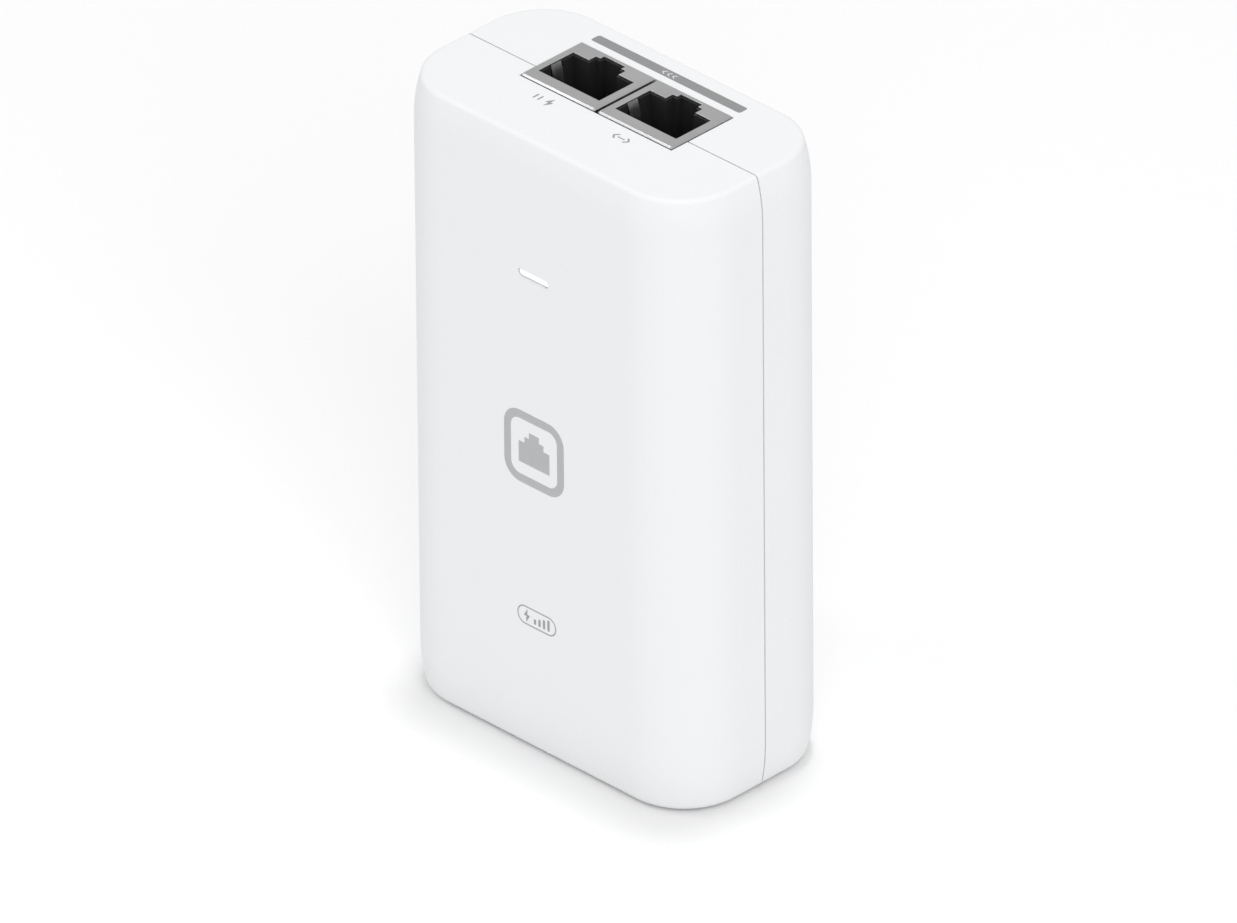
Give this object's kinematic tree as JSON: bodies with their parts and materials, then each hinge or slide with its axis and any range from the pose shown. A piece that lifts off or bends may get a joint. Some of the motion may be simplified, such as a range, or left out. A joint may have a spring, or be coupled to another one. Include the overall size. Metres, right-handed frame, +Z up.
{
  "type": "poe injector",
  "caption": "Upright white two-shell power-over-Ethernet injector with shielded modular jacks on top, status light slot and mains inlet in its base.",
  "frame": {"origin": "middle of the end it stands on, which holds the mains inlet", "axes": "+Z up to the jacks, -Y out of the front with the status light, +X to the right of someone facing the front"},
  "size_m": [0.066, 0.036, 0.1124],
  "materials": {
    "white_case": "satin",
    "light_pipe": "frosted",
    "grey_inlay": "satin",
    "label": "matt",
    "shield_metal": "brushed",
    "black_insert": "satin",
    "gold_contact": "plated",
    "inlet_black": "satin",
    "nickel_blade": "plated",
    "board_green": "satin",
    "screw_steel": "plated",
    "insulator": "matt",
    "led_package": "gloss",
    "fuse_case": "satin",
    "varistor_coat": "satin",
    "thermistor_coat": "satin",
    "ceramic_coat": "satin",
    "film_yellow": "satin",
    "ferrite": "matt",
    "copper_wire": "enamelled",
    "epoxy_black": "satin",
    "can_sleeve": "gloss",
    "heatsink_aluminium": "satin",
    "bobbin_plastic": "satin",
    "tape_yellow": "satin",
    "opto_white": "satin"
  },
  "bodies": {
    "case": {"front_shell": "white_case", "rear_shell": "white_case", "light_pipe": "light_pipe", "port_strip": "grey_inlay", "rating_label": "label", "output_jack_shield": "shield_metal", "output_jack_housing": "black_insert", "data_jack_shield": "shield_metal", "data_jack_housing": "black_insert", "inlet_housing": "inlet_black", "line_pin": "nickel_blade", "neutral_pin": "nickel_blade", "earth_pin": "nickel_blade", "main_board": "board_green", "board_screws": "screw_steel", "insulating_sheet": "insulator", "status_led": "led_package", "fuse": "fuse_case", "varistor": "varistor_coat", "thermistor": "thermistor_coat", "y_capacitor": "ceramic_coat", "x_capacitor": "film_yellow", "choke_core": "ferrite", "choke_winding": "copper_wire", "bridge_rectifier": "epoxy_black", "bulk_capacitor": "can_sleeve", "primary_heatsink": "heatsink_aluminium", "switching_transistor": "epoxy_black", "transformer_core": "ferrite", "transformer_bobbin": "bobbin_plastic", "transformer_winding": "tape_yellow", "secondary_heatsink": "heatsink_aluminium", "rectifier_diode": "epoxy_black", "output_capacitors": "can_sleeve", "inductor_core": "ferrite", "inductor_winding": "copper_wire", "optocoupler": "opto_white", "power_controller": "epoxy_black", "switching_controller": "epoxy_black", "port_transformers": "epoxy_black"},
    "output_contacts": {"output_jack_contacts": "gold_contact"},
    "data_contacts": {"data_jack_contacts": "gold_contact"}
  },
  "joints": [
    {"name": "output_contacts_flex", "type": "hinge", "parent": "case", "child": "output_contacts", "pos_m": [-0.00845, -0.00205, 0.1098], "axis": [-1, 0, 0], "range_deg": [0, 10], "stiffness_Nm_per_rad": 0.2},
    {"name": "data_contacts_flex", "type": "hinge", "parent": "case", "child": "data_contacts", "pos_m": [0.00845, -0.00205, 0.1098], "axis": [-1, 0, 0], "range_deg": [0, 10], "stiffness_Nm_per_rad": 0.2}
  ]
}
